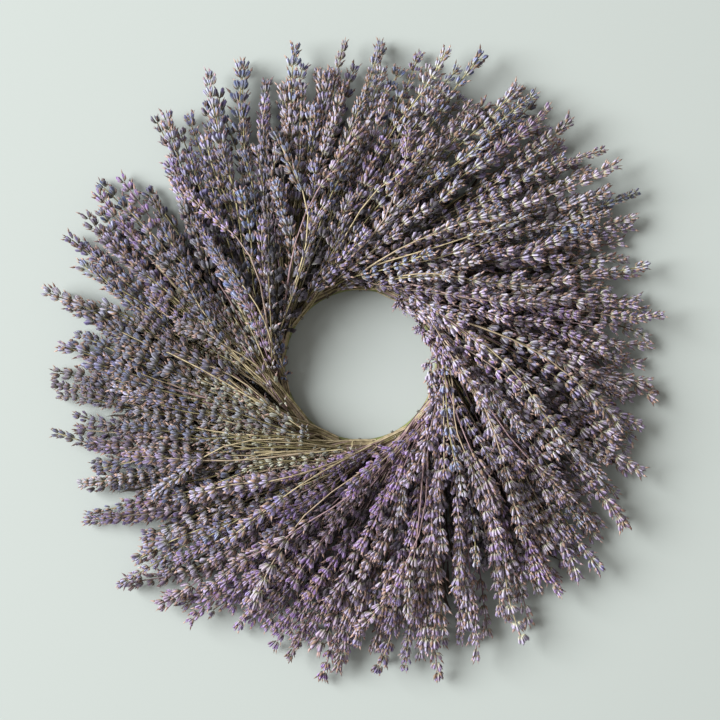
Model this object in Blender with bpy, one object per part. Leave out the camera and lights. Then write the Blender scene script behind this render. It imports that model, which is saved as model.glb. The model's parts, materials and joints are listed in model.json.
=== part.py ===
"""A dried lavender wreath, lying on its back: a wire ring, bunches of lavender laid on it like
shingles, and a turn of binding wire that ties each bunch to the ring.

Metres, +Z up towards the wreath's front. The origin is the middle of the outline, on the surface
that the wreath lies on. Seen from above, every bunch leaves the ring along its tangent, clockwise.
"""

import math
import random
from collections import namedtuple

import bmesh
import bpy
from mathutils import Vector

MM = 0.001
SEED = 7

# The wreath as a whole: ties are numbered counterclockwise
BUNCHES = 14
STEP = 2 * math.pi / BUNCHES
FIRST_TIE = math.radians(90)
# Every bunch lies along tangents of this circle
TANGENT = 60 * MM
GAP = 0.3 * MM

# The ring, and the binding wire that winds round it
RING_RADIUS = 57 * MM
RING_WIRE_RADIUS = 1.6 * MM
RING_SIDES = 6
RING_STEPS = 36
TIE_WIRE = 0.8 * MM
TIE_PITCH = 1.4 * MM
TIE_SIDES = 8
TIE_STEPS = 10

# The bound stems of a bunch: an oval bar that lies on the ring as far as its tie, and from there
# slopes up over the next tie
BAR_SLOPE = 0.34
BAR_Z = 7.9 * MM
BAR_TAIL = -6 * MM
BAR_END = 30 * MM
BAR_HALF_WIDTH = 5.2 * MM
BAR_HALF_THICKNESS = 3.1 * MM
BAR_SIDES = 10
BAR_GROOVE = 0.12

# A sprig: a stem whose root is sunk in the bar, and a spike of whorls
ROOT_SPREAD = 3.4 * MM
STEM_RADIUS = 0.6 * MM
SIDES = 3
SPIKE_RADIUS = 5.0 * MM
SPIKE_CLEAR = 0.6 * MM
SPIKE_SHRINK = 0.1
WHORL_SWELL = (0.78, 1.0, 1.0, 0.88, 0.6)
WHORL_START = 0.6
SHARE_JITTER = 0.18
LENGTH_JITTER = 0.1

# How far each bunch's fan is turned back about the ring, which keeps it off the hole
FAN_TURN = math.radians(1.5)

# Tiers of spikes in a bunch, from the lowest. root is how far along the bar their stems start,
# root_up how high in it, reach how far the tips lie from the tie, and stagger how far that varies.
Tier = namedtuple("Tier", "spikes root root_up reach stagger length base_z tip_z z_stagger")
TIERS = (
    Tier(7, 24 * MM, -1.7 * MM, 214 * MM, 11 * MM, 66 * MM, 8.5 * MM, 7 * MM, 0.0),
    Tier(6, 24 * MM, -0.7 * MM, 190 * MM, 12 * MM, 64 * MM, 18.5 * MM, 18.5 * MM, 1.5 * MM),
    Tier(5, 24 * MM, 0.3 * MM, 158 * MM, 11 * MM, 62 * MM, 26 * MM, 34 * MM, 1.5 * MM),
    Tier(3, 24 * MM, 1.2 * MM, 126 * MM, 9 * MM, 58 * MM, 30 * MM, 43 * MM, 1.0 * MM),
    Tier(2, 18 * MM, 1.8 * MM, 96 * MM, 7 * MM, 54 * MM, 32.5 * MM, 52 * MM, 1.0 * MM),
    Tier(1, 8 * MM, 0.5 * MM, 71 * MM, 4 * MM, 50 * MM, 33 * MM, 59 * MM, 1.0 * MM),
)
# How much farther than that each bunch reaches, which gives the wreath its uneven outline
MORE_REACH = [v * MM for v in (-5, 6, 6, 6, 8, 4, 0, 0, 8, -4, -1, 5, -2, -9)]
# Bunches without the three highest tiers, where the stems show from the front
BARE_BUNCHES = (5, 6, 7)

Sprig = namedtuple("Sprig", "root base tip twist swell")


def along_tangent(angle, along, z):
    """The point at height z on the tangent that leaves the circle clockwise at angle."""
    c, s = math.cos(angle), math.sin(angle)
    return Vector((TANGENT * c + along * s, TANGENT * s - along * c, z))


def bar_point(tie, along, outward, up):
    """A point of the bar of the bunch tied at this angle."""
    point = along_tangent(tie, along, BAR_Z + BAR_SLOPE * max(along, 0) + up)
    return point + outward * Vector((math.cos(tie), math.sin(tie), 0))


def sprigs_of(bunch):
    """The sprigs of a bunch, each tier shared out evenly over its part of the circle."""
    rng = random.Random(SEED * 1000 + bunch)
    tie = FIRST_TIE + bunch * STEP
    tiers = TIERS[:-3] if bunch in BARE_BUNCHES else TIERS
    sprigs = []
    for tier in tiers:
        for i in range(tier.spikes):
            reach = tier.reach + MORE_REACH[bunch] + rng.uniform(-1, 1) * tier.stagger
            length = tier.length * rng.uniform(1 - LENGTH_JITTER, 1 + LENGTH_JITTER)
            lift = rng.uniform(-1, 1) * tier.z_stagger
            ends = []
            for along, z in ((reach - length, tier.base_z), (reach, tier.tip_z)):
                share = (i + rng.uniform(-1, 1) * SHARE_JITTER) / max(tier.spikes - 1, 1)
                share = min(max(share, 0), 1)
                room = STEP - 2 * (SPIKE_RADIUS + SPIKE_CLEAR) / along
                angle = tie + FAN_TURN + room * (share - 0.5)
                ends.append(along_tangent(angle, along, z + lift))
            side = ROOT_SPREAD * (2 * (i + 0.5) / tier.spikes - 1)
            root = bar_point(tie, tier.root, side, tier.root_up)
            twist = rng.uniform(0, 2 * math.pi)
            sprigs.append(Sprig(root, *ends, twist, rng.uniform(1 - SPIKE_SHRINK, 1)))
    return sprigs


def middle_of_outline(bunches):
    """The middle of the box round all the tips."""
    tips = [sprig.tip for sprigs in bunches for sprig in sprigs]
    spans = [[tip[axis] for tip in tips] for axis in (0, 1)]
    return Vector([(min(span) + max(span)) / 2 for span in spans] + [0])


def polygon(centre, direction, radius, turn):
    """The corners of a stem's or a whorl's section, square to direction."""
    side = direction.cross(Vector((0, 0, 1))).normalized()
    up = side.cross(direction).normalized()
    angles = [turn + 2 * math.pi * i / SIDES for i in range(SIDES)]
    return [centre + radius * (math.cos(a) * side + math.sin(a) * up) for a in angles]


def lofted(name, rings, apex=None):
    """A closed mesh object through rings of equally many points, with a flat or a pointed end."""
    sides = len(rings[0])
    last = len(rings) * sides - sides
    points = [point for ring in rings for point in ring]
    faces = [range(sides)]
    for start in range(0, last, sides):
        for i in range(sides):
            here, after = start + i, start + (i + 1) % sides
            faces.append((here, here + sides, after))
            faces.append((after, here + sides, after + sides))
    if apex is None:
        faces.append(range(last, last + sides))
    else:
        points.append(apex)
        faces += [(last + i, last + sides, last + (i + 1) % sides) for i in range(sides)]
    mesh = bpy.data.meshes.new(name)
    mesh.from_pydata(points, [], [tuple(face) for face in faces])
    turned = bmesh.new()
    turned.from_mesh(mesh)
    bmesh.ops.recalc_face_normals(turned, faces=turned.faces)
    turned.to_mesh(mesh)
    turned.free()
    obj = bpy.data.objects.new(name, mesh)
    bpy.context.scene.collection.objects.link(obj)
    return obj


def sprig_object(sprig):
    """A stem that swells into whorls of three tips, each whorl turned half a step from the last."""
    spike = sprig.tip - sprig.base
    stem_way = (sprig.base - sprig.root).normalized()
    spike_way = spike.normalized()
    rings = [polygon(p, stem_way, STEM_RADIUS, sprig.twist) for p in (sprig.root, sprig.base)]
    pitch = spike / (len(WHORL_SWELL) + WHORL_START)
    for whorl, swell in enumerate(WHORL_SWELL):
        centre = sprig.base + pitch * (whorl + WHORL_START)
        turn = sprig.twist + (whorl + 1) * math.pi / SIDES
        rings.append(polygon(centre, spike_way, SPIKE_RADIUS * sprig.swell * swell, turn))
    return lofted("sprig", rings, sprig.tip)


def bar_section(tie, along):
    """The corners of a bar's section, every other one drawn in as the groove between two stems."""
    corners = []
    for i in range(BAR_SIDES):
        a = 2 * math.pi * i / BAR_SIDES
        size = 1 - BAR_GROOVE * (i % 2)
        outward = BAR_HALF_WIDTH * size * math.cos(a)
        up = BAR_HALF_THICKNESS * size * math.sin(a)
        corners.append(bar_point(tie, along, outward, up))
    return corners


def fused(name, core, repeats):
    """One union of the core and all the repeats, applied."""
    collection = bpy.data.collections.new("repeats")
    for obj in repeats:
        collection.objects.link(obj)
        bpy.context.scene.collection.objects.unlink(obj)
    union = core.modifiers.new("union", "BOOLEAN")
    union.operation = "UNION"
    union.solver = "MANIFOLD"
    union.operand_type = "COLLECTION"
    union.collection = collection
    graph = bpy.context.evaluated_depsgraph_get()
    mesh = bpy.data.meshes.new_from_object(core.evaluated_get(graph))
    for obj in repeats + [core]:
        bpy.data.objects.remove(obj)
    bpy.data.collections.remove(collection)
    obj = bpy.data.objects.new(name, mesh)
    bpy.context.scene.collection.objects.link(obj)
    return obj


def tie_corners(clear):
    """The corners, in (outward, up), of the tightest loop that clears all it ties by this much."""
    edge = (TIE_PITCH * TIE_STEPS / TIE_SIDES + TIE_WIRE) / 2
    ring_z = GAP + TIE_WIRE + RING_WIRE_RADIUS
    held = []
    for side in (-1, 1):
        x = RING_RADIUS + side * RING_WIRE_RADIUS
        held += [(x, ring_z - RING_WIRE_RADIUS), (x, ring_z + RING_WIRE_RADIUS)]
        for point in bar_section(0, side * edge):
            held.append((point.x, point.z))
    lines = []
    for i in range(TIE_SIDES):
        c, s = math.cos(2 * math.pi * i / TIE_SIDES), math.sin(2 * math.pi * i / TIE_SIDES)
        lines.append((c, s, clear + max(x * c + z * s for x, z in held)))
    corners = []
    for (c1, s1, d1), (c2, s2, d2) in zip(lines, lines[1:] + lines[:1]):
        turn = c1 * s2 - c2 * s1
        corners.append(((d1 * s2 - d2 * s1) / turn, (c1 * d2 - c2 * d1) / turn))
    return corners


def tie_object(number):
    """A flat wire wound round the ring and a bunch's bar."""
    inner, outer = tie_corners(GAP), tie_corners(GAP + TIE_WIRE)
    tie = FIRST_TIE + number * STEP
    outward = Vector((math.cos(tie), math.sin(tie), 0))
    heading = Vector((math.sin(tie), -math.cos(tie), 0))
    rings = []
    for step in range(TIE_STEPS + 1):
        along = TIE_PITCH * (step - TIE_STEPS / 2) / TIE_SIDES
        i = (step + 1) % TIE_SIDES
        ring = []
        for (x, z), edge in ((inner[i], -1), (inner[i], 1), (outer[i], 1), (outer[i], -1)):
            flat = x * outward + (along + edge * TIE_WIRE / 2) * heading
            ring.append(flat + Vector((0, 0, z)))
        rings.append(ring)
    return lofted(f"tie_{number + 1:02d}", rings)


def ring_object():
    bpy.ops.mesh.primitive_torus_add(
        major_segments=RING_STEPS,
        minor_segments=RING_SIDES,
        major_radius=RING_RADIUS,
        minor_radius=RING_WIRE_RADIUS,
        location=(0, 0, GAP + TIE_WIRE + RING_WIRE_RADIUS),
    )
    ring = bpy.context.object
    ring.name = "wire_ring"
    ring.data.shade_smooth()
    return ring


def material(name, colour, roughness, metallic=0.0):
    made = bpy.data.materials.new(name)
    made.use_nodes = True
    made.diffuse_color = (*colour, 1)
    shader = made.node_tree.nodes["Principled BSDF"]
    shader.inputs["Base Color"].default_value = (*colour, 1)
    shader.inputs["Roughness"].default_value = roughness
    shader.inputs["Metallic"].default_value = metallic
    return made


def main():
    for obj in list(bpy.data.objects):
        bpy.data.objects.remove(obj)
    lavender = material("dried_lavender", (0.13, 0.10, 0.17), 0.85)
    lacquered = material("green_lacquered_wire", (0.10, 0.13, 0.04), 0.5, 0.3)
    bare = material("binding_wire", (0.16, 0.15, 0.12), 0.45, 0.9)
    bunches = [sprigs_of(number) for number in range(BUNCHES)]
    made = [(ring_object(), lacquered)]
    for number, sprigs in enumerate(bunches):
        tie = FIRST_TIE + number * STEP
        bar = lofted("bar", [bar_section(tie, along) for along in (BAR_TAIL, 0, BAR_END)])
        repeats = [sprig_object(sprig) for sprig in sprigs]
        made.append((fused(f"bunch_{number + 1:02d}", bar, repeats), lavender))
        made.append((tie_object(number), bare))
    middle = middle_of_outline(bunches)
    for obj, finish in made:
        obj.location -= middle
        obj.data.materials.clear()
        obj.data.materials.append(finish)


main()
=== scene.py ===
"""A dried lavender wreath on a pale floor, seen from straight above.

Metres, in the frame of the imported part: +Z towards the wreath's front. Each bunch of the part is
replaced by separate stems whose spikes carry whorls of ribbed calyces with their wilted petals.
"""

import json
import math
import random
from collections import namedtuple

import bmesh
import bpy
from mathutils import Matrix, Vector

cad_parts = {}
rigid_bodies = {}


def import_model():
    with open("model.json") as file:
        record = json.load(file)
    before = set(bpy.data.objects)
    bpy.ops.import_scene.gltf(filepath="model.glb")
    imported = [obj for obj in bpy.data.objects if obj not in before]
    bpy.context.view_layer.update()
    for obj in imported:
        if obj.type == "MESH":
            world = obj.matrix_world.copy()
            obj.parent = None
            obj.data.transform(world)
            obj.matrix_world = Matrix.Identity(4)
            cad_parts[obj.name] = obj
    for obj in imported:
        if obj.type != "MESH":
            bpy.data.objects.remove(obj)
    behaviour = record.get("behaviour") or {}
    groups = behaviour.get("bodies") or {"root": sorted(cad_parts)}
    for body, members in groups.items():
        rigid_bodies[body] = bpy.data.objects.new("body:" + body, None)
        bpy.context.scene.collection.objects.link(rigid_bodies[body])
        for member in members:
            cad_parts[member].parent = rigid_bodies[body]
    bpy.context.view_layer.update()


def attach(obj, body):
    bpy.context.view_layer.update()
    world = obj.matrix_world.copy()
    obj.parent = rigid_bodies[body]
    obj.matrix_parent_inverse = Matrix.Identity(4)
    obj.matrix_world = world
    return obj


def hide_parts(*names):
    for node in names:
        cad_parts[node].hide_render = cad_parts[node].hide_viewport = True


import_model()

MM = 0.001
SEED = 7

# The part's own placement of ties and sprigs, repeated here
BUNCHES = 14
STEP = 2 * math.pi / BUNCHES
TIES = [math.radians(90) + number * STEP for number in range(BUNCHES)]
TANGENT = 60 * MM
GAP = 0.3 * MM
RING_RADIUS = 57 * MM
RING_WIRE_RADIUS = 1.6 * MM
TIE_WIRE = 0.8 * MM
BAR_SLOPE = 0.34
BAR_Z = 7.9 * MM
BAR_TAIL = -6 * MM
BAR_HALF_WIDTH = 5.2 * MM
BAR_HALF_THICKNESS = 3.1 * MM
ROOT_SPREAD = 3.4 * MM
SPIKE_RADIUS = 5.0 * MM
SPIKE_CLEAR = 0.6 * MM
SPIKE_SHRINK = 0.1
SHARE_JITTER = 0.18
LENGTH_JITTER = 0.1
FAN_TURN = math.radians(1.5)
Tier = namedtuple("Tier", "spikes root root_up reach stagger length base_z tip_z z_stagger")
TIERS = [
    Tier(spikes, *[v * MM for v in sizes])
    for spikes, *sizes in (
        (7, 24, -1.7, 214, 11, 66, 8.5, 7, 0),
        (6, 24, -0.7, 190, 12, 64, 18.5, 18.5, 1.5),
        (5, 24, 0.3, 158, 11, 62, 26, 34, 1.5),
        (3, 24, 1.2, 126, 9, 58, 30, 43, 1),
        (2, 18, 1.8, 96, 7, 54, 32.5, 52, 1),
        (1, 8, 0.5, 71, 4, 50, 33, 59, 1),
    )
]
MORE_REACH = [v * MM for v in (-5, 6, 6, 6, 8, 4, 0, 0, 8, -4, -1, 5, -2, -9)]
BARE_BUNCHES = (5, 6, 7)

# How a spike is furnished: whorls, calyces in each and their size. Plain ones have fewer faces,
# stripped ones have lost most of their flowers, and painted shade darkens those under the others
Habit = namedtuple("Habit", "whorls calyces size plain stripped deep")
FULL = Habit(8, 7, 1.14, 0, 0, 0)
LOWER = Habit(8, 7, 1.12, 0, 0, 0)
HIDDEN = Habit(5, 5, 1.45, 1, 0, 0.9)
SPARSE = Habit(7, 4, 0.92, 0, 0.4, 0)
STRIPPED = Habit(8, 3, 0.74, 0, 1, 0)
# Spikes whose tips lie higher than this are full ones
FULL_ABOVE = 26 * MM
# Where the whorls of a spike sit, from its base (0) to its tip (1): the first a little apart, the
# rest crowded towards the last
FIRST_WHORL, SECOND_WHORL, LAST_WHORL = -0.05, 0.11, 0.95
CROWDING = 1.2
# How far a spike bows, a stem's radius below it and in it, the points of the curve up to it, how far
# along that starts, which stems count as short, and how much wider, thicker and more ragged at its
# cut end the bound part is than the part's bar
SPIKE_BEND = 3.5 * MM
STEM_RADIUS = 0.68 * MM
AXIS_RADIUS = 0.45 * MM
STEM_POINTS = 5
FREE_FROM, SHORT_FREE_FROM = 16 * MM, 4 * MM
SHORT_STEM = 40 * MM
BOUND_WIDER, BOUND_THICKER = 1.2, 1.15
CUT_STAGGER = 7 * MM

# What each bunch holds besides the part's sprigs: some on top, short ones over the ring, more at the
# rim, stray ones across the others, stripped and sparse ones, hidden ones below, stems with no spike
# and leaves
FRONT_SPRIGS = (6, 6, 6, 5, 4, 3, 3, 3, 5, 5, 5, 5, 5, 6)
INNER_SPRIGS = (3, 1, 0, 1, 1, 0, 0, 0, 1, 0, 1, 3, 5, 5)
BESIDE_TIPS = 1
RIM_SPRIGS = 1
STRAY_SPRIGS = 2
STRIPPED_SPRIGS = (1, 1, 1, 1, 6, 20, 22, 20, 6, 1, 1, 1, 1, 1)
SPARSE_SPRIGS = (0, 0, 0, 0, 2, 9, 10, 9, 2, 0, 0, 0, 0, 0)
UNDER_SPRIGS = 22
BARE_STEMS = (12, 12, 12, 12, 16, 34, 34, 34, 18, 12, 12, 12, 12, 12)
LEAVES = 20
# In these bunches, those of the part that end nearer to the middle than this are sparse
SPARSE_WITHIN = {3: 100 * MM, 4: 118 * MM, 5: 118 * MM}
# How long the spikes are that fill a bunch, end at the rim, lie across the others or are stripped
FILL_SPIKES, RIM_SPIKES = (46 * MM, 64 * MM), (50 * MM, 64 * MM)
STRAY_SPIKES, THIN_SPIKES = (40 * MM, 55 * MM), (42 * MM, 70 * MM)
# How far along the bunch the tips lie of sprigs on top and below, also where stems are bare, of
# short ones, others at the rim, stray ones and stripped ones, where leaves lie and bare stems end
FRONT_TIPS, FRONT_TIPS_WHERE_BARE = (68 * MM, 195 * MM), (140 * MM, 195 * MM)
UNDER_TIPS, UNDER_TIPS_WHERE_BARE = (68 * MM, 162 * MM), (96 * MM, 162 * MM)
INNER_TIPS, OTHER_RIM_TIPS = (42 * MM, 58 * MM), (180 * MM, 204 * MM)
STRAY_TIPS, THIN_TIPS = (120 * MM, 185 * MM), (80 * MM, 150 * MM)
LEAF_PLACES = (36 * MM, 158 * MM)
BARE_FROM, BARE_TO, BARE_TO_WHERE_FULL = 60 * MM, 160 * MM, 130 * MM
# How far the stems of stray and of stripped sprigs are raised on their way to the spike
STRAY_ARCH, STRAY_ARCH_WHERE_BARE, THIN_ARCH = 22 * MM, 10 * MM, 4 * MM
# How far a filling spike may lie from the bunch's middle, as a share of the step between two ties
FILL_SHARE = 0.62
# The calyces reach this far past the end of a spike's line
PAST_TIP = 2 * MM
# Where the longest spikes end and where the rim is notched: degrees counterclockwise from the right
# and millimetres from the middle of the ring
RIM_TIPS = (
    (9, 227), (19, 225), (28, 231), (32, 244), (38, 240), (41, 242), (50, 237), (54, 235),
    (57, 238), (61, 232), (69, 246), (75, 242), (86, 235), (93, 240), (102, 242), (110, 237),
    (118, 243), (128, 233), (147, 233), (151, 231), (156, 236), (165, 238), (176, 222), (184, 227),
    (193, 235), (202, 227), (211, 220), (222, 241), (230, 231), (236, 229), (245, 217), (256, 225),
    (266, 227), (274, 226), (278, 229), (284, 238), (292, 234), (301, 237), (311, 225), (316, 226),
    (320, 233), (329, 229), (340, 222), (348, 214), (356, 216),
)
RIM_NOTCHES = (
    (3, 215), (16, 214), (21, 216), (37, 218), (46, 229), (56, 230), (67, 210), (83, 218),
    (90, 220), (98, 226), (106, 212), (116, 212), (124, 227), (136, 193), (149, 223), (154, 217),
    (158, 221), (174, 210), (179, 204), (189, 201), (200, 207), (216, 186), (227, 218), (235, 221),
    (244, 205), (249, 206), (271, 210), (277, 220), (282, 221), (290, 218), (297, 219), (309, 214),
    (318, 222), (326, 219), (335, 214), (339, 212), (343, 206), (347, 206), (351, 202),
)
# Half a notch's width in degrees, and how far at most it holds a spike back
NOTCH_HALF_WIDTH = 3.0
MOST_HELD_BACK = 20 * MM
# Where the floor shows between the spikes: the inner and the outer end of each parting, in degrees
# and millimetres as above, how far from it the line of a spike stays, and how far short of it a spike
# may start and still be moved whole
PARTINGS = (
    (143, 163, 136, 206), (122, 173, 116, 217), (109, 193, 107, 221), (149, 184, 142, 211),
    (207, 174, 199, 206), (222, 171, 212, 230), (241, 175, 228, 222), (171, 166, 168, 187),
    (165, 185, 165, 210), (115, 186, 110, 225),
)
PARTING_HALF_WIDTH = 8 * MM
PARTING_LEAD = 10 * MM
# How far inside the part's tangent circle the short sprigs of each bunch lie
INNER_SHIFT = [v * MM for v in (1, 0, 0, 2, 5, 5, 1, 0, 0, 0, 2, 6, 9, 8)]
# The height of spike tips and of spike bases by how far along they lie, in millimetres
TIP_HEIGHTS = (
    (0, 40), (45, 50), (71, 58), (96, 52), (126, 43), (158, 34), (190, 18.5), (214, 8), (240, 6)
)
BASE_HEIGHTS = (
    (0, 20), (21, 33), (42, 32.5), (68, 30), (96, 26), (126, 18.5), (148, 8.5), (240, 6)
)
# The height of the lowest spikes, the most that stray ones have, also where stems are bare, and the
# least that anything has
LOW = 5 * MM
STRAY_TOP, STRAY_TOP_WHERE_BARE = 63 * MM, 36 * MM
LOWEST = 0.3 * MM

# How violet, how rusty, how pale and how plump the flowers of each bunch are
VIOLET = (0.65, 0.5, 0.4, 0.35, 0.35, 0.25, 0.15, 0.3, 0.7, 1.0, 0.85, 0.8, 0.75, 0.75)
RUST = (0.5, 0.6, 0.6, 0.65, 0.45, 0.5, 0.75, 0.75, 0.5, 0.45, 0.5, 0.45, 0.45, 0.45)
PALE = (0.75, 0.7, 0.55, 0.45, 0.3, 0.1, 0.04, 0.04, 0.3, 0.4, 0.65, 0.8, 0.82, 0.8)
PLUMP = (1.0, 1.0, 1.0, 1.0, 1.05, 1.1, 1.12, 1.12, 1.1, 1.0, 1.0, 1.0, 1.0, 1.0)

# A calyx, how far from the stem's middle it starts, and how far out of place it may be
CALYX_LENGTH = 5.8 * MM
CALYX_RADIUS = 1.08 * MM
CALYX_SHIFT = 1.4 * MM
NUDGE = 0.6 * MM
LEAF_LENGTH = 34 * MM
# In radians: how far a whorl's calyces fan round the stem's upper side, and how far they tilt
FAN = 5.4
LEAST_TILT, MOST_TILT = 0.06, 0.54
STEM_SIDES = 4

# The binding wire starts at this angle of its turn, under the ring
TIE_START = -2.2
TIE_TURNS = 2.4
TIE_TURN_STEPS = 28
TIE_PITCH = 1.1 * MM
RING_STEPS = 120

FLOOR_HALF = 5.0
FLOOR_Z = -0.2 * MM
# The camera, and how wide a field it sees at the height of the rim's spikes
CAMERA = (4.4 * MM, -1.1 * MM, 1.7)
FIELD_WIDTH = 0.5306
FIELD_HEIGHT = 14 * MM
# A wide window to the left, a little towards the top, and the light that the room gives back
WINDOW = (-4.9, 1.1, 3.6)
WINDOW_WIDTH = 4.6
WINDOW_POWER = 1040
WINDOW_SHADE = (1.0, 0.99, 0.965)
ROOM_LIGHT = 0.44

# The points of a sprig, how full it is, and where its stem lies in the bound part
Sprig = namedtuple("Sprig", "root base tip swell side up")


def along_tangent(angle, along, z):
    """The point at height z on the tangent that leaves the circle of ties clockwise at angle."""
    c, s = math.cos(angle), math.sin(angle)
    return Vector((TANGENT * c + along * s, TANGENT * s - along * c, z))


def bar_point(tie, along, outward, up):
    """A point of the bound stems of the bunch tied at this angle."""
    point = along_tangent(tie, along, BAR_Z + BAR_SLOPE * max(along, 0) + up)
    return point + outward * Vector((math.cos(tie), math.sin(tie), 0))


def bar_heading(tie):
    """The way in which those stems slope up past the tie."""
    return Vector((math.sin(tie), -math.cos(tie), BAR_SLOPE)).normalized()


def sprigs_of(bunch):
    """The part's sprigs of a bunch, each tier shared out evenly over its part of the circle."""
    rng = random.Random(SEED * 1000 + bunch)
    tie = TIES[bunch]
    tiers = TIERS[:-3] if bunch in BARE_BUNCHES else TIERS
    sprigs = []
    for tier in tiers:
        for i in range(tier.spikes):
            reach = tier.reach + MORE_REACH[bunch] + rng.uniform(-1, 1) * tier.stagger
            length = tier.length * rng.uniform(1 - LENGTH_JITTER, 1 + LENGTH_JITTER)
            lift = rng.uniform(-1, 1) * tier.z_stagger
            ends = []
            for along, z in ((reach - length, tier.base_z), (reach, tier.tip_z)):
                share = (i + rng.uniform(-1, 1) * SHARE_JITTER) / max(tier.spikes - 1, 1)
                share = min(max(share, 0), 1)
                room = STEP - 2 * (SPIKE_RADIUS + SPIKE_CLEAR) / along
                angle = tie + FAN_TURN + room * (share - 0.5)
                ends.append(along_tangent(angle, along, z + lift))
            side = ROOT_SPREAD * (2 * (i + 0.5) / tier.spikes - 1)
            root = bar_point(tie, tier.root, side, tier.root_up)
            # The part draws the spike's twist here
            rng.random()
            swell = rng.uniform(1 - SPIKE_SHRINK, 1)
            sprigs.append(Sprig(root, *ends, swell, side, tier.root_up))
    return sprigs


def height_at(along, heights):
    """The height in metres, read between the listed ones."""
    for (a, za), (b, zb) in zip(heights, heights[1:]):
        if along <= b * MM:
            return (za + (zb - za) * (along / MM - a) / (b - a)) * MM
    return heights[-1][1] * MM


def spread_out(least, most, rng):
    """A distance between these, drawn so that the places spread evenly over the area."""
    return math.sqrt(rng.uniform(least**2, most**2))


def more_sprigs_of(bunch, count, tips, depths, lift, rng):
    """Sprigs that fill a bunch between the part's own, and over its edges, with their tips between
    two places along it and at a share of the full height between two depths."""
    tie = TIES[bunch]
    sprigs = []
    for i in range(count):
        reach = spread_out(*tips, rng) + MORE_REACH[bunch]
        length = rng.uniform(*FILL_SPIKES)
        share = rng.uniform(-FILL_SHARE, FILL_SHARE)
        depth = rng.uniform(*depths)
        ends = []
        for along, heights in ((reach - length, BASE_HEIGHTS), (reach, TIP_HEIGHTS)):
            z = LOW + (height_at(along, heights) - LOW) * depth + lift
            room = STEP + rng.uniform(-6, 6) * MM / reach
            ends.append(along_tangent(tie + FAN_TURN + room * share, along, z))
        side = rng.uniform(-1, 1) * ROOT_SPREAD
        up = rng.uniform(-1.5, 1.5) * MM
        root = bar_point(tie, min(24 * MM, reach * 0.12), side, up)
        sprigs.append(Sprig(root, *ends, rng.uniform(0.85, 1), side, up))
    return sprigs


def middle_of_outline(bunches):
    """The middle of the box round all the tips."""
    tips = [sprig.tip for sprigs in bunches for sprig in sprigs]
    spans = [[tip[axis] for tip in tips] for axis in (0, 1)]
    return Vector([(min(span) + max(span)) / 2 for span in spans] + [0])


class Stems:
    """Polylines with a value at every point for each of these names: how thick the stem is; how
    large a whorl sits there, how far it spreads, with how many calyces, how plump and how plain;
    how large a leaf; the tones and the state that the finishes read; and how much painted shade
    darkens them."""

    NAMES = (
        "thick", "whorl", "spread", "calyces", "plump", "plain", "leaf",
        "tone", "violet", "rust", "pale", "dry", "deep", "stripped",
    )

    def __init__(self):
        self.points = []
        self.edges = []
        self.values = {name: [] for name in self.NAMES}

    def add(self, points, **values):
        """Adds a line through the points, with one value for all of them or a list."""
        start = len(self.points)
        self.points += points
        self.edges += [(start + i, start + i + 1) for i in range(len(points) - 1)]
        for name in self.NAMES:
            value = values.get(name, 0.0)
            self.values[name] += value if isinstance(value, list) else [value] * len(points)

    def mesh(self, name, middle):
        mesh = bpy.data.meshes.new(name)
        mesh.from_pydata([point - middle for point in self.points], self.edges, [])
        for key, values in self.values.items():
            mesh.attributes.new(key, "FLOAT", "POINT").data.foreach_set("value", values)
        return mesh


def bezier(a, b, c, d, count):
    """Points on a cubic curve from a to d, without its last."""
    points = []
    for i in range(count):
        t = i / count
        u = 1 - t
        points.append(u**3 * a + 3 * u * u * t * b + 3 * u * t * t * c + t**3 * d)
    return points


def bound_part(tie, side, up, rng):
    """A stem's points inside the bound part of its bunch."""
    tail = BAR_TAIL - rng.uniform(0, CUT_STAGGER)
    return [bar_point(tie, along, side, up) for along in (tail, SHORT_FREE_FROM)]


def whorls_of(habit, grow, rng):
    """The place of each whorl on its spike, its size, and how wide its calyces spread. The first is
    smaller, and the last are small and upright."""
    places = [FIRST_WHORL + rng.uniform(-0.04, 0.03)]
    count = max(4, round(habit.whorls / grow))
    for i in range(count - 1):
        crowded = 1 - (1 - i / (count - 2)) ** CROWDING
        place = SECOND_WHORL + (LAST_WHORL - SECOND_WHORL) * crowded
        places.append(place + rng.uniform(-0.014, 0.014))
    whorls = []
    for i, place in enumerate(places):
        t = max(place, 0) / LAST_WHORL
        size = habit.size * (0.85 if i == 0 else 1.06 - 0.14 * t**3) * rng.uniform(0.9, 1.08)
        whorls.append((place, size, 1 - 0.3 * t**4))
    return whorls


def ring_point(degrees, radius):
    """A point of the ring's plane at this angle and this many millimetres from its middle."""
    angle = math.radians(degrees)
    return radius * MM * Vector((math.cos(angle), math.sin(angle), 0))


def parted(sprig):
    """The sprig moved aside where its spike would cover a parting."""
    tip, base = sprig.tip.copy(), sprig.base.copy()
    for inner_turn, inner, outer_turn, outer in PARTINGS:
        start, end = ring_point(inner_turn, inner), ring_point(outer_turn, outer)
        way = (end - start).normalized()
        across = Vector((-way.y, way.x, 0))
        aside = (tip - start).dot(across)
        if (tip - start).dot(way) < 0 or abs(aside) > PARTING_HALF_WIDTH:
            continue
        edge = math.copysign(PARTING_HALF_WIDTH, aside)
        tip += (edge - aside) * across
        if (base - start).dot(way) > -PARTING_LEAD:
            base += (edge - (base - start).dot(across)) * across
    return sprig._replace(tip=tip, base=base)


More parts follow.
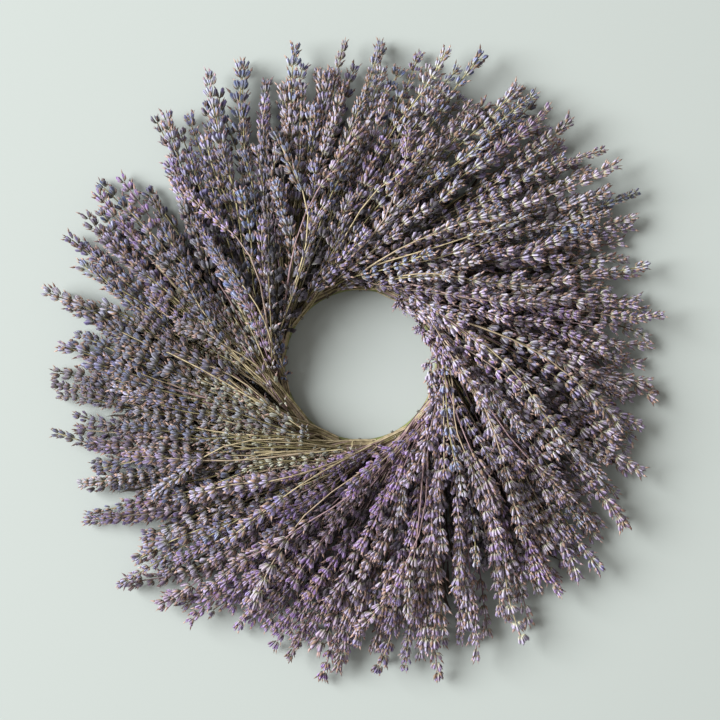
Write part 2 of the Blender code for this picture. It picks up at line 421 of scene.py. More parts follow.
def add_sprig(stems, sprig, tie, habit, finish, rng, arch=0.0):
    """One stem from its cut end to the tip of its spike, raised by arch on its way there."""
    sprig = parted(sprig)
    side, up = sprig.side * BOUND_WIDER, sprig.up * BOUND_THICKER
    spike = sprig.tip - sprig.base
    way = spike.normalized()
    heading = bar_heading(tie)
    reach = (sprig.base - sprig.root).length
    points = bound_part(tie, side, up, rng)
    start = bar_point(tie, FREE_FROM if reach > SHORT_STEM else SHORT_FREE_FROM, side, up)
    points = [p for p in points if (p - start).dot(heading) < -1 * MM]
    first = start + heading * reach * 0.3 + Vector((0, 0, arch))
    points += bezier(start, first, sprig.base - way * reach * 0.4, sprig.base, STEM_POINTS)
    bound = len(points)
    across = way.cross(Vector((0, 0, 1))).normalized()
    bend = across * rng.uniform(-1, 1) * SPIKE_BEND
    bend += Vector((0, 0, rng.uniform(-0.5, 1) * SPIKE_BEND))
    sizes, spreads = [0.0] * bound, [0.0] * bound
    grow = rng.uniform(0.84, 1.26)
    for place, size, spread in whorls_of(habit, grow, rng):
        points.append(sprig.base + spike * place + bend * math.sin(math.pi * max(place, 0)))
        sizes.append(size * sprig.swell * grow)
        spreads.append(spread)
    thick = [STEM_RADIUS * rng.uniform(0.75, 1.1)] * (bound - 2)
    thick += [AXIS_RADIUS] * (len(points) - len(thick))
    # Each point carries the habit's state, with the painted shade that darkens spikes under the others
    state = {name: float(getattr(habit, name)) for name in ("calyces", "plain", "stripped", "deep")}
    stems.add(points, thick=thick, whorl=sizes, spread=spreads, **state, **finish)


def inner_sprigs_of(bunch, rng):
    """Short sprigs that lie on the bound stems, with their spikes starting just past the tie."""
    tie = TIES[bunch]
    sprigs = []
    for i in range(INNER_SPRIGS[bunch]):
        side = -INNER_SHIFT[bunch] + rng.uniform(-4.5, 4.5) * MM
        start, reach = rng.uniform(4, 14) * MM, rng.uniform(*INNER_TIPS)
        base = bar_point(tie, start, side, rng.uniform(3, 5) * MM)
        tip = bar_point(tie, reach, side * 0.6, rng.uniform(5, 9) * MM)
        root = bar_point(tie, 0, side * 0.7, 1.5 * MM)
        sprigs.append(Sprig(root, base, tip, rng.uniform(0.8, 0.95), side * 0.5, 1.5 * MM))
    return sprigs


def rim_sprigs_of(bunch, rng):
    """Sprigs that end at the rim's tips, each with a shorter one beside it, and a few others."""
    tie = TIES[bunch]
    ends = []
    for degrees, radius in RIM_TIPS:
        reach = math.sqrt((radius * MM) ** 2 - TANGENT**2)
        angle = math.radians(degrees) + math.atan2(reach, TANGENT)
        away = (angle - tie - FAN_TURN + math.pi) % (2 * math.pi) - math.pi
        if abs(away) > STEP / 2:
            continue
        ends.append((away, reach - PAST_TIP))
        for i in range(BESIDE_TIPS):
            beside = rng.choice((-1, 1)) * rng.uniform(7, 11) * MM / reach
            ends.append((away + beside, reach - rng.uniform(18, 40) * MM))
    for i in range(RIM_SPRIGS):
        ends.append((STEP * (rng.random() - 0.5), rng.uniform(*OTHER_RIM_TIPS) + MORE_REACH[bunch]))
    sprigs = []
    for away, reach in ends:
        length = rng.uniform(*RIM_SPIKES)
        base, tip = [
            along_tangent(tie + FAN_TURN + away + rng.uniform(-3, 3) * MM / along, along, z * MM)
            for along, z in ((reach - length, rng.uniform(14, 24)), (reach, rng.uniform(9, 23)))
        ]
        side = rng.uniform(-1, 1) * ROOT_SPREAD
        root = bar_point(tie, 24 * MM, side, 0)
        sprigs.append(Sprig(root, base, tip, rng.uniform(0.85, 1.05), side, 0.0))
    return sprigs


def loosened(sprig, rng):
    """The sprig a little out of line, and drawn back where the rim has a notch."""
    tip, base = sprig.tip.copy(), sprig.base.copy()
    along = (tip - base).normalized()
    across = Vector((-along.y, along.x, 0))
    for degrees, radius in RIM_NOTCHES:
        away = math.degrees(math.atan2(tip.y, tip.x)) - degrees
        beyond = tip.to_2d().length - radius * MM
        if abs((away + 180) % 360 - 180) < NOTCH_HALF_WIDTH and beyond > 0:
            back = min(beyond, MOST_HELD_BACK) * along
            tip, base = tip - back, base - back
    tip += across * rng.uniform(-1, 1) * 4 * MM
    base += across * rng.uniform(-1, 1) * 3 * MM
    return sprig._replace(tip=tip, base=base)


def stray_sprigs_of(bunch, rng):
    """Sprigs that lie across the others with much of their stems in sight."""
    tie = TIES[bunch]
    top = STRAY_TOP_WHERE_BARE if bunch in BARE_BUNCHES else STRAY_TOP
    sprigs = []
    for i in range(STRAY_SPRIGS):
        reach = rng.uniform(*STRAY_TIPS)
        share, turned = rng.uniform(-0.5, 0.3), rng.uniform(-0.12, 0.16)
        ends = []
        for along, turn in ((reach - rng.uniform(*STRAY_SPIKES), 0), (reach, turned)):
            z = min(height_at(along, TIP_HEIGHTS) + 5 * MM, top)
            ends.append(along_tangent(tie + STEP * share + turn, along, z))
        side = rng.uniform(-1, 1) * ROOT_SPREAD
        root = bar_point(tie, 20 * MM, side, 2.6 * MM)
        sprigs.append(Sprig(root, *ends, rng.uniform(0.85, 1), side, 2.6 * MM))
    return sprigs


def thin_sprigs_of(bunch, count, rng):
    """Sprigs that have lost many of their flowers, over the stems near the hole."""
    tie = TIES[bunch]
    sprigs = []
    for i in range(count):
        reach, length = rng.uniform(*THIN_TIPS), rng.uniform(*THIN_SPIKES)
        share, turned = rng.uniform(-0.5, 0.5), rng.uniform(-0.1, 0.1)
        z = rng.uniform(-9, 3) * MM
        ends = []
        for along, turn in ((reach - length, 0), (reach, turned)):
            height = min(height_at(along, BASE_HEIGHTS) + 3 * MM, 30 * MM)
            ends.append(along_tangent(tie + STEP * share + turn, along, height + z))
        side = rng.uniform(-1.2, 1.2) * ROOT_SPREAD
        up = rng.uniform(-1, 2.6) * MM
        root = bar_point(tie, FREE_FROM, side, up)
        sprigs.append(Sprig(root, *ends, rng.uniform(0.8, 1.2), side, up))
    return sprigs


def add_leaves(stems, bunch, finish, rng):
    """Narrow dried leaves low in the bunch, each on a short piece of stem."""
    tie = TIES[bunch]
    for i in range(LEAVES):
        along = spread_out(*LEAF_PLACES, rng)
        angle = tie + STEP * rng.uniform(-0.6, 0.6)
        z = rng.uniform(3, max(6, height_at(along, BASE_HEIGHTS) / MM - 9)) * MM
        start = along_tangent(angle, along, z)
        angle += rng.uniform(-0.35, 0.35)
        way = Vector((math.sin(angle), -math.cos(angle), rng.uniform(-0.1, 0.12)))
        points = [start + way * step * MM for step in (0, 3, 6)]
        leaf = [0.0, rng.uniform(0.7, 1.25), 0.0]
        # Leaves are darkened halfway with painted shade, as they lie low in the bunch
        stems.add(points, thick=0.5 * MM, leaf=leaf, deep=0.5, **finish())


def add_bare_stem(stems, tie, reach, finish, rng, high):
    """A stem whose spike was lost or lies hidden: it ends in the mass."""
    side = rng.uniform(-1.2, 1.2) * ROOT_SPREAD
    up = rng.uniform(-2.4, 2.6) * MM
    z = rng.uniform(*high) * MM
    end = along_tangent(tie + FAN_TURN + STEP * rng.uniform(-0.56, 0.56), reach, z)
    root = bar_point(tie, FREE_FROM, side, up)
    heading = bar_heading(tie)
    length = (end - root).length
    points = bound_part(tie, side, up, rng)
    points += bezier(root, root + heading * length * 0.3, end - heading * length * 0.2, end, 6)
    points.append(end)
    stems.add(points, thick=STEM_RADIUS * rng.uniform(0.7, 1.1), **finish)


def kept_between(middle, spread, rng):
    """A value drawn round the middle and kept from 0 to 1."""
    return min(max(rng.gauss(middle, spread), 0), 1)


def bunch_stems(bunch, sprigs):
    """All stems of one bunch, with how each of them looks."""
    rng = random.Random(SEED * 3000 + bunch)
    tie = TIES[bunch]
    bare = bunch in BARE_BUNCHES
    stems = Stems()

    def finish(dry=0.0):
        return dict(
            tone=rng.random(),
            violet=kept_between(VIOLET[bunch], 0.3, rng),
            rust=kept_between(RUST[bunch], 0.15, rng),
            pale=kept_between(PALE[bunch], 0.28, rng),
            plump=PLUMP[bunch] * rng.uniform(0.85, 1.15),
            dry=dry or rng.random() * 0.6,
        )

    for sprig in [loosened(sprig, rng) for sprig in sprigs] + rim_sprigs_of(bunch, rng):
        habit = FULL if sprig.tip.z > FULL_ABOVE else LOWER
        if sprig.tip.to_2d().length < SPARSE_WITHIN.get(bunch, 0):
            habit = SPARSE
        add_sprig(stems, sprig, tie, habit, finish(), rng)
    tips = FRONT_TIPS_WHERE_BARE if bare else FRONT_TIPS
    front = more_sprigs_of(bunch, FRONT_SPRIGS[bunch], tips, (0.9, 1), 2 * MM, rng)
    for sprig in front + inner_sprigs_of(bunch, rng):
        add_sprig(stems, sprig, tie, FULL, finish(), rng)
    for sprig in stray_sprigs_of(bunch, rng):
        arch = STRAY_ARCH_WHERE_BARE if bare else STRAY_ARCH
        add_sprig(stems, sprig, tie, FULL, finish(0.9), rng, arch)
    for sprig in thin_sprigs_of(bunch, STRIPPED_SPRIGS[bunch], rng):
        add_sprig(stems, sprig, tie, STRIPPED, finish(rng.uniform(0.3, 1)), rng, THIN_ARCH)
    for sprig in thin_sprigs_of(bunch, SPARSE_SPRIGS[bunch], rng):
        add_sprig(stems, sprig, tie, SPARSE, finish(), rng, THIN_ARCH)
    tips, depths = (UNDER_TIPS_WHERE_BARE, (0.1, 0.4)) if bare else (UNDER_TIPS, (0.1, 1))
    # Hidden sprigs below the others, darkened with painted shade
    for sprig in more_sprigs_of(bunch, UNDER_SPRIGS, tips, depths, -2 * MM, rng):
        add_sprig(stems, sprig, tie, HIDDEN, finish(), rng)
    add_leaves(stems, bunch, finish, rng)
    for i in range(BARE_STEMS[bunch]):
        high, far = ((10, 36), BARE_TO) if bare else ((6, 22), BARE_TO_WHERE_FULL)
        look = dict(finish(rng.random()), violet=rng.random())
        add_bare_stem(stems, tie, rng.uniform(BARE_FROM, far), look, rng, high)
    return stems


def add_shell(built, sides, rings, ends, groove):
    """Adds a closed shell through rings of (z, radius, lean, along), between two pointed ends of
    (z, lean, along). Every other corner is drawn in as a groove between two ribs."""
    along = built.verts.layers.float["along"]
    rib = built.verts.layers.float["rib"]

    def corner(spot, far, ribbed):
        made = built.verts.new(spot)
        made[along] = far
        made[rib] = ribbed
        return made

    loops = []
    for z, radius, lean, far in rings:
        loops.append([])
        for i in range(sides):
            angle = 2 * math.pi * i / sides
            r = radius * (groove if i % 2 else 1)
            spot = (lean + r * math.cos(angle), r * math.sin(angle), z)
            loops[-1].append(corner(spot, far, 1 - i % 2))
    tips = [corner((lean, 0, z), far, 0.5) for z, lean, far in ends]
    for i in range(sides):
        j = (i + 1) % sides
        built.faces.new((tips[0], loops[0][j], loops[0][i]))
        for low, up in zip(loops, loops[1:]):
            built.faces.new((low[i], low[j], up[j], up[i]))
        built.faces.new((loops[-1][i], loops[-1][j], tips[1]))


def shape_object(name, shells):
    """An object of closed shells, rounded in its shading."""
    built = bmesh.new()
    built.verts.layers.float.new("along")
    built.verts.layers.float.new("rib")
    for shell in shells:
        add_shell(built, *shell)
    bmesh.ops.recalc_face_normals(built, faces=built.faces)
    for face in built.faces:
        face.smooth = True
    mesh = bpy.data.meshes.new(name)
    built.to_mesh(mesh)
    built.free()
    return bpy.data.objects.new(name, mesh)


def calyx_shapes():
    """Closed calyces that curve up from their base, some with the wilted petals still in their
    mouths or a papery bract beside them. The last is plainer, for the spikes that lie below. Along
    runs from 0 to 1 up a calyx, and is 2 to 3 on petals, 4 on a bract and -1 on a leaf."""
    length, radius, shift = CALYX_LENGTH, CALYX_RADIUS, CALYX_SHIFT
    shapes = bpy.data.collections.new("calyx_shapes")
    long_petals = (
        4, [(length * 1.08, radius * 0.6, shift + 1.1 * MM, 2.4)],
        ((length * 0.66, shift + 0.5 * MM, 2.0), (length * 1.46, shift + 2.1 * MM, 3.0)), 0.7,
    )
    short_petals = (
        4, [(length * 1.02, radius * 0.75, shift + 0.7 * MM, 2.4)],
        ((length * 0.66, shift + 0.4 * MM, 2.0), (length * 1.3, shift + 0.2 * MM, 3.0)), 0.7,
    )
    bract = (
        4, [(length * 0.24, radius * 0.36, shift + 1.3 * MM, 4.0)],
        ((-0.1 * length, shift - 0.2 * MM, 4.0), (length * 0.76, shift + 2.2 * MM, 4.0)), 2.6,
    )
    kinds = (
        (6, 0.5 * MM, []), (4, 0.9 * MM, []), (4, 0.2 * MM, [bract]), (4, 0.6 * MM, [long_petals]),
        (4, 0.4 * MM, [short_petals, bract]), (4, 0.7 * MM, [long_petals]),
    )
    for number, (sides, lean, more) in enumerate(kinds):
        rings = [
            (length * 0.22, radius * 0.76, shift + lean * 0.4, 0.22),
            (length * 0.76, radius, shift + lean, 0.76),
        ]
        ends = ((0.0, shift - 0.3 * MM, 0.0), (length, shift + lean * 0.8, 1.0))
        calyx = (sides, rings, ends, 0.78)
        shapes.objects.link(shape_object(f"calyx_{number}", [calyx] + more))
    rings = [(length * 0.6, radius * 1.4, shift + 0.3 * MM, 0.7)]
    ends = ((0.0, shift - 0.3 * MM, 0.0), (length, shift + 0.4 * MM, 1.0))
    shapes.objects.link(shape_object("calyx_6", [(4, rings, ends, 0.8)]))
    return shapes


def leaf_shape():
    """A narrow pointed leaf, folded along its rib and curled down."""
    rings = [
        (LEAF_LENGTH * 0.2, 1.6 * MM, 0.6 * MM, -1.0),
        (LEAF_LENGTH * 0.52, 2.0 * MM, 1.2 * MM, -1.0),
        (LEAF_LENGTH * 0.8, 1.2 * MM, 0.0, -1.0),
    ]
    ends = ((0.0, 0.0, -1.0), (LEAF_LENGTH, -3 * MM, -1.0))
    return shape_object("leaf", [(4, rings, ends, 0.2)])


def add(tree, kind, settings=(), inputs=(), out=0):
    """Adds a node with its settings, feeds each input a value or a socket, and gives an output."""
    made = tree.nodes.new(kind)
    for name, value in dict(settings).items():
        setattr(made, name, value)
    for key, value in dict(inputs).items():
        for source in value if isinstance(value, list) else [value]:
            if isinstance(source, bpy.types.NodeSocket):
                tree.links.new(source, made.inputs[key])
            else:
                made.inputs[key].default_value = source
    return made.outputs[out] if made.outputs else made


def lavender_tree():
    """Stems swept along their lines, and calyces in whorls at the points where whorl isn't 0."""
    tree = bpy.data.node_groups.new("lavender", "GeometryNodeTree")
    tree.is_modifier = True
    for name, kind in (
        ("Lines", "Geometry"), ("Calyx Shapes", "Collection"), ("Leaf", "Object"), ("Fan", "Float"),
        ("Least Tilt", "Float"), ("Most Tilt", "Float"), ("Stem Sides", "Int"), ("Lowest", "Float"),
        ("Seed", "Int"), ("Stem Finish", "Material"), ("Flower Finish", "Material"),
    ):
        tree.interface.new_socket(name, in_out="INPUT", socket_type="NodeSocket" + kind)
    tree.interface.new_socket("Geometry", in_out="OUTPUT", socket_type="NodeSocketGeometry")
    given = tree.nodes.new("NodeGroupInput").outputs
    read = {
        name: add(tree, "GeometryNodeInputNamedAttribute", {"data_type": "FLOAT"}, {0: name})
        for name in Stems.NAMES + ("turn", "stem")
    }
    heading = add(tree, "GeometryNodeInputNamedAttribute", {"data_type": "QUATERNION"}, {0: "heading"})
    seeds = [
        add(tree, "ShaderNodeMath", {"operation": "ADD"}, {0: given["Seed"], 1: float(i)})
        for i in range(9)
    ]
    # A whorl's turn in steps between its calyces, a calyx's own turn, tilt and roll in radians, its
    # size and its place among the finishes, and a leaf's roll
    spans = (
        (-0.5, 0.5), (-0.4, 0.4), (given["Least Tilt"], given["Most Tilt"]), (-0.35, 0.35),
        (0.74, 1.16), (0.0, 1.0), (-0.7, 0.7),
    )
    whorl_turn, own_turn, tilt, roll, own_size, speck, leaf_roll = [
        add(tree, "FunctionNodeRandomValue", {"data_type": "FLOAT"}, {2: least, 3: most, 8: seed}, 1)
        for seed, (least, most) in zip(seeds, spans)
    ]

    # Stems
    lines = add(tree, "GeometryNodeMeshToCurve", {}, {0: given["Lines"]})
    lines = add(tree, "GeometryNodeSetCurveNormal", {"mode": "Z_UP"}, {0: lines})
    sides = {"Resolution": given["Stem Sides"], "Radius": 1.0}
    section = add(tree, "GeometryNodeCurvePrimitiveCircle", {}, sides)
    stems = add(
        tree, "GeometryNodeCurveToMesh", {},
        {"Curve": lines, "Profile Curve": section, "Scale": read["thick"], "Fill Caps": True},
    )
    stems = add(
        tree, "GeometryNodeStoreNamedAttribute", {"data_type": "FLOAT", "domain": "FACE"},
        {"Geometry": stems, "Name": "stem", "Value": 1.0},
    )
    stems = add(tree, "GeometryNodeSetShadeSmooth", {}, {"Geometry": stems})

    # Points with the way that the stem runs there, those that carry a whorl and those with a leaf
    spots = add(tree, "GeometryNodeCurveToPoints", {"mode": "EVALUATED"}, {"Curve": lines})
    spots = add(
        tree, "GeometryNodeStoreNamedAttribute", {"data_type": "QUATERNION", "domain": "POINT"},
        {"Geometry": spots, "Name": "heading", "Value": spots.node.outputs["Rotation"]},
    )
    carrying = {}
    for name in ("whorl", "leaf"):
        none = add(tree, "ShaderNodeMath", {"operation": "LESS_THAN"}, {0: read[name], 1: 0.01})
        rest = {"Geometry": spots, "Selection": none}
        carrying[name] = add(tree, "GeometryNodeDeleteGeometry", {"domain": "POINT"}, rest)

    # Each whorl's point is repeated once for each calyx, and these fan round the stem
    whorls = add(
        tree, "GeometryNodeStoreNamedAttribute", {"data_type": "FLOAT", "domain": "POINT"},
        {"Geometry": carrying["whorl"], "Name": "turn", "Value": whorl_turn},
    )
    many = add(
        tree, "GeometryNodeDuplicateElements", {"domain": "POINT"},
        {"Geometry": whorls, "Amount": read["calyces"]},
    )
    turn = many.node.outputs["Duplicate Index"]
    for operation, *values in (
        ("ADD", read["turn"]), ("DIVIDE", read["calyces"]), ("SUBTRACT", 0.4),
        ("MULTIPLY_ADD", given["Fan"], -math.pi / 2), ("ADD", own_turn),
    ):
        fed = dict(enumerate([turn, *values]))
        turn = add(tree, "ShaderNodeMath", {"operation": operation}, fed)
    tilt, size, plain = [
        add(tree, "ShaderNodeMath", {"operation": "MULTIPLY"}, {0: value, 1: share})
        for value, share in ((read["spread"], tilt), (read["whorl"], own_size), (read["plain"], 6.0))
    ]
    # A calyx is turned round the stem, tilted away from it and rolled, and a leaf is only rolled
    turned = []
    for steps in (
        (((0, 0, 1), turn), ((0, 1, 0), tilt), ((0, 0, 1), roll)),
        (((0, 0, 1), leaf_roll),),
    ):
        rotation = heading
        for axis, angle in steps:
            step = add(tree, "FunctionNodeAxisAngleToRotation", {}, {"Axis": axis, "Angle": angle})
            both = {"Rotation": rotation, "Rotate By": step}
            rotation = add(tree, "FunctionNodeRotateRotation", {"rotation_space": "LOCAL"}, both)
        turned.append(rotation)
    nudge = add(
        tree, "FunctionNodeRandomValue", {"data_type": "FLOAT_VECTOR"},
        {0: (-NUDGE,) * 3, 1: (NUDGE,) * 3, 8: seeds[7]},
    )
    many = add(tree, "GeometryNodeSetPosition", {}, {"Geometry": many, "Offset": nudge})
    shapes = add(
        tree, "GeometryNodeCollectionInfo", {},
        {"Collection": given["Calyx Shapes"], "Separate Children": True, "Reset Children": True},
    )
    wide = add(tree, "ShaderNodeMath", {"operation": "MULTIPLY"}, {0: size, 1: read["plump"]})
    scale = add(tree, "ShaderNodeCombineXYZ", {}, {0: wide, 1: wide, 2: size})
    # One of the first six shapes, or the last where the spike is plain
    pick = add(tree, "FunctionNodeRandomValue", {"data_type": "INT"}, {4: 0, 5: 5, 8: seeds[8]}, 2)
    pick = add(tree, "ShaderNodeMath", {"operation": "MAXIMUM"}, {0: pick, 1: plain})
    calyces = add(
        tree, "GeometryNodeInstanceOnPoints", {},
        {
            "Points": many, "Instance": shapes, "Pick Instance": True, "Instance Index": pick,
            "Rotation": turned[0], "Scale": scale,
        },
    )
    calyces = add(
        tree, "GeometryNodeStoreNamedAttribute", {"data_type": "FLOAT", "domain": "INSTANCE"},
        {"Geometry": calyces, "Name": "speck", "Value": speck},
    )
    leaf = add(tree, "GeometryNodeObjectInfo", {}, {"Object": given["Leaf"]}, "Geometry")
    leaves = add(
        tree, "GeometryNodeInstanceOnPoints", {},
        {"Points": carrying["leaf"], "Instance": leaf, "Rotation": turned[1], "Scale": read["leaf"]},
    )

    # All of it as one mesh, with nothing in the floor
    bunch = add(tree, "GeometryNodeJoinGeometry", {}, {"Geometry": [stems, calyces, leaves]})
    bunch = add(tree, "GeometryNodeRealizeInstances", {}, {"Geometry": bunch})
    spot = add(tree, "ShaderNodeSeparateXYZ", {}, {0: add(tree, "GeometryNodeInputPosition")})
    x, y, z = spot.node.outputs
    z = add(tree, "ShaderNodeMath", {"operation": "MAXIMUM"}, {0: z, 1: given["Lowest"]})
    spot = add(tree, "ShaderNodeCombineXYZ", {}, {0: x, 1: y, 2: z})
    bunch = add(tree, "GeometryNodeSetPosition", {}, {"Geometry": bunch, "Position": spot})
    for finish, where in (("Flower Finish", {}), ("Stem Finish", {"Selection": read["stem"]})):
        painted = {"Geometry": bunch, "Material": given[finish], **where}
        bunch = add(tree, "GeometryNodeSetMaterial", {}, painted)
    add(tree, "NodeGroupOutput", {}, {0: bunch})
    return tree


def placed(name, data):
    """A new object of the scene, at its origin."""
    obj = bpy.data.objects.new(name, data)
    bpy.context.scene.collection.objects.link(obj)
    return obj


def plain_mesh(source):
    """The finished mesh of this object, which is then removed."""
    graph = bpy.context.evaluated_depsgraph_get()
    mesh = bpy.data.meshes.new_from_object(source.evaluated_get(graph), depsgraph=graph)
    bpy.data.objects.remove(source)
    return mesh


def grown(name, lines, tree, inputs):
    """The plain mesh that the tree makes of these lines, as an object at the origin."""
    source = placed(name + "_lines", lines)
    growth = source.modifiers.new("growth", "NODES")
    growth.node_group = tree
    for socket in tree.interface.items_tree:
        if socket.in_out == "INPUT" and socket.name in inputs:
            growth[socket.identifier] = inputs[socket.name]
    mesh = plain_mesh(source)
    mesh.name = name
    return placed(name, mesh)


def colour(code):
    """The linear RGBA of an sRGB hex value."""
    parts = [int(code[i : i + 2], 16) / 255 for i in (1, 3, 5)]
    linear = [p / 12.92 if p <= 0.04045 else ((p + 0.055) / 1.055) ** 2.4 for p in parts]
    return (*linear, 1.0)


def finish_of(name, roughness, metallic=0.0):
    """A new material, its tree and its shader."""
    made = bpy.data.materials.new(name)
    made.use_nodes = True
    shader = made.node_tree.nodes["Principled BSDF"]
    shader.inputs["Roughness"].default_value = roughness
    shader.inputs["Metallic"].default_value = metallic
    return made, made.node_tree, shader


def laid_over(tree, read, ground, layers):
    """A colour with others laid over it, each by a value that is read, between two limits: (name,
    low, high, cover at low, cover at high, colour, and the blend where it isn't a plain mix)."""
    for name, low, high, at_low, at_high, shade, *blend in layers:
        limits = {0: read[name], 1: low, 2: high, 3: at_low, 4: at_high}
        cover = add(tree, "ShaderNodeMapRange", {}, limits)
        mixed = {"data_type": "RGBA", "blend_type": blend[0] if blend else "MIX"}
        ground, shade = [colour(c) if isinstance(c, str) else c for c in (ground, shade)]
        ground = add(tree, "ShaderNodeMix", mixed, {0: cover, 6: ground, 7: shade}, 2)
    return ground


def dried_calyx():
    """Felted calyces of dried lavender: matte, pale green-grey at the base and slate to violet
    above, with a painted highlight on the ribs and painted shade in the grooves, and mauve to tan
    and rust-brown wilted petals. Those under the others are darkened with painted shade."""
    made, tree, shader = finish_of("dried_lavender_calyx", 0.85)
    read = {
        name: add(tree, "ShaderNodeAttribute", {"attribute_name": name}, (), "Fac")
        for name in ("along", "speck", "rib", "tone", "violet", "rust", "pale", "deep", "stripped")
    }
    # Blotches about as wide as a calyx
    where = add(tree, "ShaderNodeTexCoord", {}, (), "Object")
    blotched = {"Vector": where, "Scale": 1 / (2.5 * MM), "Detail": 3.0}
    read["mottle"] = add(tree, "ShaderNodeTexNoise", {}, blotched)
    petal = laid_over(
        tree, read, "#62443a",
        [("speck", 0.1, 0.9, 0.0, 1.0, "#b2968a"), ("rust", 0.15, 0.5, 0.5, 0.0, "#a892ac")],
    )
    base = laid_over(tree, read, "#868a55", [("tone", 0.0, 1.0, 0.0, 1.0, "#cfd2a4")])
    whole = laid_over(
        tree, read, "#6074a9",
        [
            ("violet", 0.1, 0.95, 0.0, 1.0, "#8c66b2"),
            ("rust", 0.4, 0.9, 0.0, 0.22, "#8c7c66"),
            ("speck", 0.6, 1.0, 0.0, 0.3, "#c3c4d4"),
            ("speck", 0.0, 0.4, 0.5, 0.0, "#8c6e58"),
            ("tone", 0.0, 0.45, 0.5, 0.0, "#8c8068"),
            ("pale", 0.35, 1.0, 0.0, 0.62, "#bab4c6"),
            ("along", 0.05, 0.5, 1.0, 0.0, base),
            ("stripped", 0.0, 1.0, 0.0, 0.75, "#a4a886"),
            # Painted highlight along the ribs
            ("rib", 0.5, 1.0, 0.0, 0.34, "#dce0e6"),
            # Painted shade in the grooves between the ribs
            ("rib", 0.0, 0.6, 0.85, 0.0, "#5c5260", "MULTIPLY"),
            ("along", 0.82, 1.0, 0.0, 0.55, "#43405a"),
            ("mottle", 0.52, 0.74, 0.0, 0.4, "#5a4034"),
            ("along", 1.4, 1.6, 0.0, 1.0, petal),
            ("along", 3.4, 3.6, 0.0, 0.75, "#7c6552"),
            ("along", -0.6, -0.4, 1.0, 0.0, "#55483a"),
            ("pale", 0.0, 0.4, 0.6, 0.0, "#68646c", "MULTIPLY"),
            # Painted shade on the calyces, petals and leaves that lie under the others
            ("deep", 0.0, 1.0, 0.0, 0.95, "#3c2c26", "MULTIPLY"),
        ],
    )
    tree.links.new(whole, shader.inputs["Base Color"])
    shader.inputs["Sheen Weight"].default_value = 0.2
    shader.inputs["Sheen Roughness"].default_value = 0.5
    return made


def dried_stem():
    """Dried square stems: matte, from dark olive-brown to pale straw, some flushed purple, and
    darkened with painted shade where they lie under the others.
    """
    made, tree, shader = finish_of("dried_lavender_stem", 0.75)
    read = {
        name: add(tree, "ShaderNodeAttribute", {"attribute_name": name}, (), "Fac")
        for name in ("tone", "violet", "dry", "deep")
    }
    # Darker lengths of a few millimetres
    where = add(tree, "ShaderNodeTexCoord", {}, (), "Object")
    streaked = {"Vector": where, "Scale": 1 / (4 * MM), "Detail": 3.0}
    read["streak"] = add(tree, "ShaderNodeTexNoise", {}, streaked)
    whole = laid_over(
        tree, read, "#585030",
        [
            ("tone", 0.1, 1.0, 0.0, 1.0, "#ada67a"),
            ("dry", 0.4, 1.0, 0.0, 0.7, "#c6b698"),
            ("violet", 0.45, 0.95, 0.0, 0.75, "#8a6c80"),
            ("streak", 0.45, 0.72, 0.0, 0.6, "#4c3d2a"),
            # Painted shade on the stems that lie under the others
            ("deep", 0.0, 1.0, 0.0, 0.95, "#3c2c26", "MULTIPLY"),
        ],
    )
    tree.links.new(whole, shader.inputs["Base Color"])
    return made


def lacquered_wire():
    """Steel wire under dull green lacquer: a soft gloss, worn a little browner in places."""
    made, tree, shader = finish_of("green_lacquered_steel", 0.5)
    # Worn patches about a fingertip wide
    where = add(tree, "ShaderNodeTexCoord", {}, (), "Object")
    read = {"wear": add(tree, "ShaderNodeTexNoise", {}, {"Vector": where, "Scale": 1 / (9 * MM)})}
    whole = laid_over(tree, read, "#6f7a3e", [("wear", 0.45, 0.7, 0.0, 1.0, "#6b6338")])
    tree.links.new(whole, shader.inputs["Base Color"])
    shader.inputs["Coat Weight"].default_value = 0.3
    shader.inputs["Coat Roughness"].default_value = 0.35
    return made


def annealed_wire():
    """Thin annealed steel wire: dull grey-brown metal with darker scale."""
    made, tree, shader = finish_of("annealed_steel_wire", 0.45, 0.9)
    # Patches of scale a few wire widths long
    where = add(tree, "ShaderNodeTexCoord", {}, (), "Object")
    read = {"scale": add(tree, "ShaderNodeTexNoise", {}, {"Vector": where, "Scale": 1 / (3 * MM)})}
    whole = laid_over(tree, read, "#8a8378", [("scale", 0.4, 0.7, 0.0, 1.0, "#4f463c")])
    tree.links.new(whole, shader.inputs["Base Color"])
    return made


def floor_paint():
    """Matt pale grey-green paint."""
    made, _, shader = finish_of("matt_pale_paint", 0.9)
    shader.inputs["Base Color"].default_value = colour("#a1a9a8")
    return made


def swept_wire(name, points, radius, closed, finish):
    """A round wire through these points, as a plain closed mesh."""
    curve = bpy.data.curves.new(name, "CURVE")
    curve.dimensions = "3D"
    curve.bevel_depth = radius
    curve.bevel_resolution = 1
    curve.use_fill_caps = not closed
    spline = curve.splines.new("POLY")
    spline.points.add(len(points) - 1)
    for spot, point in zip(spline.points, points):
        spot.co = (*point, 1)
    spline.use_cyclic_u = closed
    spline.use_smooth = True
    mesh = plain_mesh(placed(name, curve))
    closing = bmesh.new()
    closing.from_mesh(mesh)
    bmesh.ops.remove_doubles(closing, verts=closing.verts, dist=1e-7)
    bmesh.ops.recalc_face_normals(closing, faces=closing.faces)
    for face in closing.faces:
        face.smooth = len(face.verts) == 4
    closing.to_mesh(mesh)
    closing.free()
    mesh.materials.clear()
    mesh.materials.append(finish)
    return placed(name, mesh)


